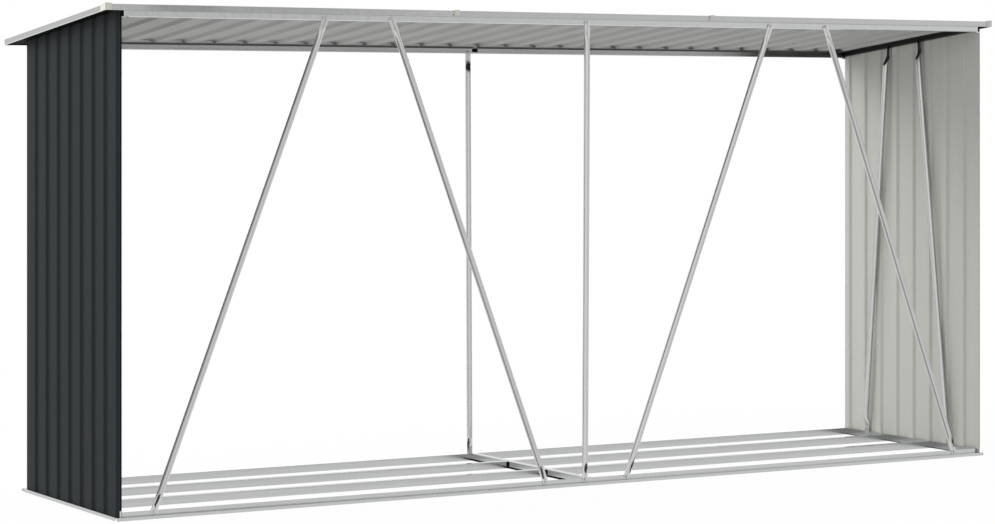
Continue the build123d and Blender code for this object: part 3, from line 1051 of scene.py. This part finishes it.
# %% [markdown]
# Hexagon bolts hold the tongues, with a washer under the head and a nut behind. One bolt is a stack
# of rings turned about its axis: a disc for the washer, six flats with a chamfer for the head.

# %% Bolts
def ring_stack(base, axis, stack, sides, points, faces, turn=0.0):
    """Rings (height, radius) about an axis, joined up and closed at both ends."""
    side = axis.orthogonal().normalized()
    other = axis.cross(side)
    start = len(points)
    for height, radius in stack:
        for index in range(sides):
            angle = turn + 2 * math.pi * index / sides
            arm = side * math.cos(angle) + other * math.sin(angle)
            points.append(base + axis * height + arm * radius)
    for row in range(len(stack) - 1):
        for index in range(sides):
            following = (index + 1) % sides
            low = start + row * sides
            faces.append((low + index, low + following, low + sides + following, low + sides + index))
    faces.append(tuple(start + index for index in reversed(range(sides))))
    top = start + (len(stack) - 1) * sides
    faces.append(tuple(top + index for index in range(sides)))


washer = [(0, 4.6 * mm), (0.1 * mm, 4.8 * mm), (0.7 * mm, 4.8 * mm), (0.8 * mm, 4.6 * mm)]
head = [(0.8 * mm, 4.3 * mm), (3.4 * mm, 4.3 * mm), (3.9 * mm, 3.7 * mm), (4.0 * mm, 2.6 * mm)]
nut = [(0, 4.3 * mm), (3.2 * mm, 4.3 * mm), (3.6 * mm, 3.7 * mm)]
foot_bolt = 4.7 * mm
top_bolt = 5 * mm
random.seed(7)


def bolt(points, faces, spot, out):
    """Head, washer and nut on both sides of a tongue and the rail behind it."""
    face = spot + out * tongue_gauge / 2
    ring_stack(face, out, washer, 20, points, faces)
    ring_stack(face, out, head, 6, points, faces, random.uniform(0, 1))
    back = spot - out * (tongue_gauge / 2 + 2 * solid_gauge)
    ring_stack(back, -out, nut, 6, points, faces, random.uniform(0, 1))


bright_points, bright_faces, dark_points, dark_faces = [], [], [], []
for foot, top, normal, out in tube_ends + wall_tube_ends:
    rise = top - foot
    way = (rise - normal * rise.dot(normal)).normalized()
    bolt(bright_points, bright_faces, foot + way * foot_bolt, out)
    if normal.y:
        bolt(bright_points, bright_faces, top - way * top_bolt, out)
    else:
        # The bolts at the top of the wall braces are black: painted shade.
        bolt(dark_points, dark_faces, top - way * top_bolt, out)
add_piece("brace_bolts", bright_points, bright_faces, [zinc_bolt], "galvanised_steel")
add_piece("wall_brace_bolts", dark_points, dark_faces, [black_coat], "dark_steel")
print("bolts:", 2 * len(tube_ends + wall_tube_ends))

# %% [markdown]
# Sheet screws hold the roof to the beams: a small hexagon head with a flange, coated like the sheet,
# over a rubber ring. Each valley has one over the front beam and one over the rear beam.

# %% Sheet screws
screw_flange = [(0, 5.2 * mm), (0.9 * mm, 5.2 * mm), (1.3 * mm, 4.6 * mm)]
screw_head = [(1.3 * mm, 3.6 * mm), (4.2 * mm, 3.6 * mm), (4.7 * mm, 3.0 * mm)]
rubber_ring = [(0, 6.2 * mm), (1.4 * mm, 6.2 * mm), (1.6 * mm, 5.6 * mm)]
screw_points, screw_faces, ring_points, ring_faces = [], [], [], []
up = Vector((0, roof_slope, 1)).normalized()
for index in range(3 * roof_ribs):
    x = (index + 0.5) * roof_pitch - roof_sheet_x
    for y in (wall_front_y + 13 * mm, wall_rear_y - 13 * mm):
        spot = Vector((x, y, roof_z(y, crest_drop + roof_rib_depth - solid_gauge / 2)))
        ring_stack(spot, up, rubber_ring, 20, ring_points, ring_faces)
        spot = spot + up * 1.6 * mm
        ring_stack(spot, up, screw_flange, 16, screw_points, screw_faces)
        ring_stack(spot, up, screw_head, 6, screw_points, screw_faces, random.uniform(0, 1))
add_piece("sheet_screws", screw_points, screw_faces, [anthracite], "coated_sheet")
add_piece("screw_rings", ring_points, ring_faces, [black_coat], "dark_steel")
print("with screws:", len(pieces))

# %% [markdown]
# Caps and clips are small mouldings with soft edges. The drawing has their shape, so a copy of that
# mesh is cleaned of the lines between flat triangles and gets a bevel on every true edge.

# %% Caps and clips
def soften(node, name, finish, slot, width, peak=0.0):
    """A copy of a node's mesh with rounded edges, raised by a peak at the roof's corner."""
    mesh = nodes[node].data.copy()
    mesh.name = name
    work = bmesh.new()
    work.from_mesh(mesh)
    bmesh.ops.remove_doubles(work, verts=work.verts, dist=0.01 * mm)
    bmesh.ops.dissolve_limit(work, angle_limit=math.radians(2), verts=work.verts, edges=work.edges)
    for corner in work.verts:
        on_top = corner.co.z > roof_z(corner.co.y) + 1 * mm
        if peak and on_top and abs(corner.co.x) > trim_x and abs(corner.co.y) > roof_half_depth:
            corner.co.z += peak
    bmesh.ops.bevel(
        work, geom=list(work.edges), offset=width, segments=3,
        profile=0.5, affect="EDGES", clamp_overlap=True,
    )
    work.to_mesh(mesh)
    work.free()
    mesh.materials.clear()
    mesh.materials.append(finish)
    return take_over(mesh, name, slot, [node], 50)


soften("roof_corner_caps", "corner_caps_moulded", cream.material, "cream_plastic", 0.7 * mm, 1.5 * mm)
soften("trim_joint_clips", "joint_clips_moulded", cream.material, "cream_plastic", 0.7 * mm)
print("with caps and clips:", len(pieces))

# %% [markdown]
# The store stands on a plain white floor in front of a white background. The floor takes the
# store's shadow. To the camera, and in gloss, it also glows, which lifts it to the same white as
# the background: a little less close to the store, so that the shadow stays, and fully far away.

# %% Floor
floor_mesh = bpy.data.meshes.new("floor")
reach = 60
corners = [(-reach, -reach, 0), (reach, -reach, 0), (reach, reach, 0), (-reach, reach, 0)]
floor_mesh.from_pydata(corners, [], [(0, 1, 2, 3)])
floor = bpy.data.objects.new("floor", floor_mesh)
floor.location.z = -0.5 * mm
bpy.context.scene.collection.objects.link(floor)
paper = Finish("floor_paper")
fibre = paper.noise(paper.place(), 3.0, 3.0)
paper.set(Base_Color=paper.mix(fibre, grey(0.9), grey(0.92)), Roughness=0.9, Specular_IOR_Level=0.0)
seen, mirrored, passed = paper.rays()
ground = paper.place()
ground_x = paper.part(ground, "X")
ground_y = paper.part(ground, "Y")
spread = paper.node("ShaderNodeVectorMath", {"operation": "LENGTH"}, {0: paper.place((0.55, 1, 1))}, "Value")
white_share = paper.ramp(spread, 0.7, 2.2, 0.965, 1.0)
left_share = paper.ramp(0.2 - ground_x, 0.2, 1.2) * paper.ramp(ground_y, -0.7, 0.1)
clear_x = paper.ramp(0.0 - ground_x, 1.75, 2.0)
clear_rear = paper.ramp(ground_y, 0.6, 0.8)
clear_front = paper.ramp(0.0 - ground_y, 0.9, 1.1)
clear = 1 - (1 - clear_x) * (1 - clear_rear) * (1 - clear_front)
near = paper.ramp(spread, 2.5, 4.0, 1.0, 0.0)
card_share = mirrored * left_share * clear * near * 0.18
glow_tone = paper.mix(card_share, grey(1.0), grey(0.0))
glow = paper.node("ShaderNodeEmission", None, {"Color": glow_tone, "Strength": 1.0})
lift = (seen + mirrored + passed) * white_share
matt = Field(paper.tree, paper.shader.outputs[0])
blend = paper.node("ShaderNodeMixShader", None, {0: lift, 1: matt, 2: glow})
paper.tree.links.new(blend.socket, paper.tree.nodes["Material Output"].inputs["Surface"])
floor_mesh.materials.append(paper.material)
print("floor laid")

# %% [markdown]
# The light is that of a white studio: an even surround with three broad lamps, one at the left rear
# that gives the ribs their shape, one behind that lights the right wall and a weak one in front.
# Bright metal in an all-white room has no shape, because it mirrors white
# everywhere, so a photographer leaves parts of the room dark. Here the surround is full white to the
# camera, and in gloss it is white as well, but for a dim part high on the left and a weak one in front.

# %% Surround and lamps
world = bpy.data.worlds.new("surround")
world.use_nodes = True
bpy.context.scene.world = world
room = Tree(world.node_tree)
way = room.place(source="Generated")
way_x = room.part(way, "X")
way_y = room.part(way, "Y")
way_z = room.part(way, "Z")
dim_left = room.ramp(0.0 - way_x, 0.1, 0.35) * room.ramp(way_y, -0.05, 0.2) * room.ramp(way_z, 0.06, 0.18)
dim_front = room.ramp(0.0 - way_y, 0.5, 0.75) * room.ramp(way_x, 0.58, 0.42) * room.ramp(way_x, 0.25, 0.36)
mirror_white = 1 - dim_left * 0.18 - dim_front * 0.36
ambient = 0.6
seen, mirrored, passed = room.rays()
strength = ambient + (seen + passed) * (1 - ambient) + mirrored * (mirror_white - ambient)
background = world.node_tree.nodes["Background"]
background.inputs["Color"].default_value = grey(1.0)
feed(world.node_tree, background.inputs["Strength"], strength)


def lamp(name, place, aim, size, power):
    """A square soft lamp that doesn't show in gloss."""
    data = bpy.data.lights.new(name, "AREA")
    data.shape = "SQUARE"
    data.size = size
    data.energy = power
    made = bpy.data.objects.new(name, data)
    made.location = place
    made.rotation_euler = (Vector(aim) - Vector(place)).to_track_quat("-Z", "Y").to_euler()
    made.visible_glossy = False
    bpy.context.scene.collection.objects.link(made)
    return made


lamp("key", (-5.8, 2.4, 3.4), (0, 0, 0.6), 3.0, 170)
lamp("rear", (-1.5, 5.5, 4.0), (1.6, 0, 0.8), 3.0, 150)
lamp("fill", (-4.5, -5.0, 3.5), (1.2, 0, 0.7), 2.0, 40)
print("lit")

# %% [markdown]
# The view keeps colours as they are, and the number of pieces is printed.

# %% View
scene = bpy.context.scene
scene.view_settings.view_transform = "Standard"
print("pieces:", len(pieces))
